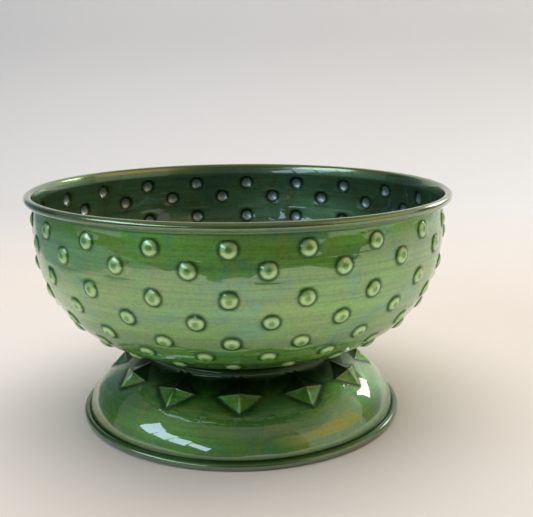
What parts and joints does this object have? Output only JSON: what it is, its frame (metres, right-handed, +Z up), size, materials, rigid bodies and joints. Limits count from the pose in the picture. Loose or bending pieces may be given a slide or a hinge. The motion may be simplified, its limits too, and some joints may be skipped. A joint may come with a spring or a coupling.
{
  "type": "footed bowl",
  "caption": "Round enamelled steel bowl with hobnails pressed out of its wall and a rolled rim, bolted to a wide foot with pressed diamonds.",
  "frame": {"origin": "centre of the foot, on the surface that it stands on", "axes": "+Z up along the bowl's axis, -Y towards the viewer of the picture"},
  "size_m": [0.28, 0.28, 0.153],
  "materials": {
    "bowl_enamel": "glossy translucent green enamel over brushed steel",
    "foot_enamel": "glossy translucent deep green enamel over brushed steel",
    "plain_steel": "zinc-plated steel",
    "brass": "satin brass",
    "rubber": "matt black rubber"
  },
  "bodies": {
    "root": {"bowl_shell": "bowl_enamel", "rim_wire": "plain_steel", "foot_shell": "foot_enamel", "foot_wire": "plain_steel", "fixing_screw": "brass", "seal_washer": "rubber", "neck_gasket": "rubber", "clamp_washer": "plain_steel", "lock_washer": "plain_steel", "hex_nut": "brass"}
  },
  "joints": []
}
